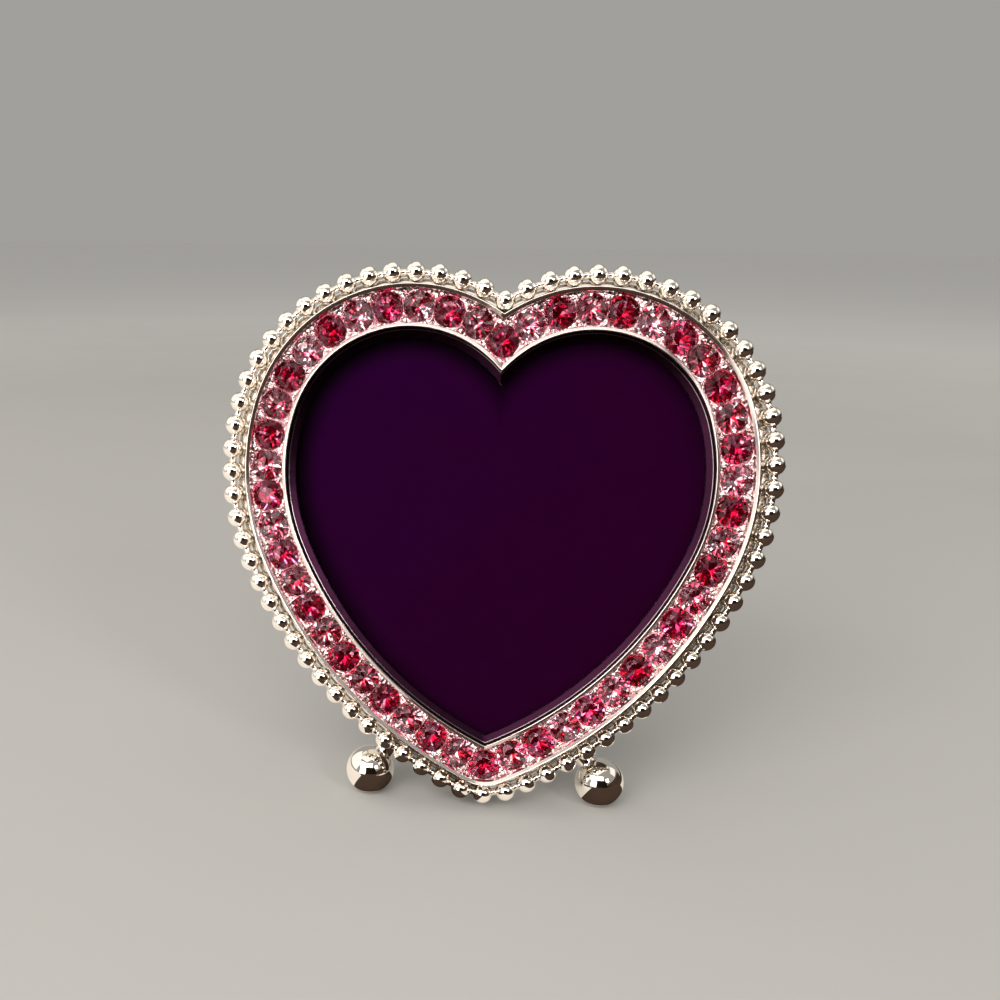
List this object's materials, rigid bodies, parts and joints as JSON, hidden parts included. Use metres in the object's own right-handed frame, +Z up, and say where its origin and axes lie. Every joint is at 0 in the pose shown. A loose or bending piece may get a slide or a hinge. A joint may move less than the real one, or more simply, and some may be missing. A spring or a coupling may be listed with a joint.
{
  "type": "heart shaped photo frame",
  "caption": "Heart shaped table photo frame with a bead border, a channel of set crystals, glazed window, ball feet and a folding easel strut behind.",
  "frame": {"origin": "on the table, below the middle of the whole standing frame with its strut open", "axes": "+Z up, +X to the right as seen from the front, the face looks towards -Y and leans back 15 degrees"},
  "size_m": [0.0598, 0.0309, 0.0568],
  "materials": {
    "silver_plate": "polished silver-tone plating on a cast ring",
    "silver_beads": "polished silver-tone plating on round beads",
    "silver_balls": "polished silver-tone plating on turned balls",
    "rose_crystal": "foil-backed cut crystal, deep rose",
    "light_rose_crystal": "foil-backed cut crystal, pale dusty rose",
    "pane": "clear float glass",
    "purple_card": "smooth dark purple card",
    "grey_card": "plain packing card",
    "flock": "black flocked board",
    "hinge_steel": "stamped and rolled steel",
    "rivet_steel": "domed rivets",
    "clip_steel": "stamped spring steel",
    "screw_brass": "turned brass",
    "pad_rubber": "soft black rubber"
  },
  "bodies": {
    "frame": {"frame_body": "silver_plate", "bead_border": "silver_beads", "rose_crystals": "rose_crystal", "light_rose_crystals": "light_rose_crystal", "glass_pane": "pane", "photo_card": "purple_card", "filler_card": "grey_card", "back_board": "flock", "hinge_plate": "hinge_steel", "hinge_pin": "hinge_steel", "hinge_rivets": "rivet_steel", "turn_button_screws": "screw_brass", "turn_button_washers": "screw_brass", "ball_foot_left": "silver_balls", "ball_foot_right": "silver_balls", "foot_collars": "silver_balls"},
    "easel": {"leg_leaf": "hinge_steel", "easel_leg": "flock", "leg_rivets": "rivet_steel", "leg_foot_pad": "pad_rubber"},
    "button_upper_right": {"turn_button_upper_right": "clip_steel"},
    "button_lower_right": {"turn_button_lower_right": "clip_steel"},
    "button_upper_left": {"turn_button_upper_left": "clip_steel"},
    "button_lower_left": {"turn_button_lower_left": "clip_steel"}
  },
  "joints": [
    {"name": "leg_fold", "type": "hinge", "parent": "frame", "child": "easel", "pos_m": [0, 0.00041, 0.03486], "axis": [1, 0, 0], "range_deg": [-35, 0]},
    {"name": "button_upper_right_turn", "type": "hinge", "parent": "frame", "child": "button_upper_right", "pos_m": [0.01745, 0.00293, 0.04987], "axis": [0, -0.9659, 0.2588], "continuous": true},
    {"name": "button_lower_right_turn", "type": "hinge", "parent": "frame", "child": "button_lower_right", "pos_m": [0.01439, -0.00709, 0.01247], "axis": [0, -0.9659, 0.2588], "continuous": true},
    {"name": "button_upper_left_turn", "type": "hinge", "parent": "frame", "child": "button_upper_left", "pos_m": [-0.01745, 0.00293, 0.04987], "axis": [0, -0.9659, 0.2588], "continuous": true},
    {"name": "button_lower_left_turn", "type": "hinge", "parent": "frame", "child": "button_lower_left", "pos_m": [-0.01439, -0.00709, 0.01247], "axis": [0, -0.9659, 0.2588], "continuous": true}
  ]
}
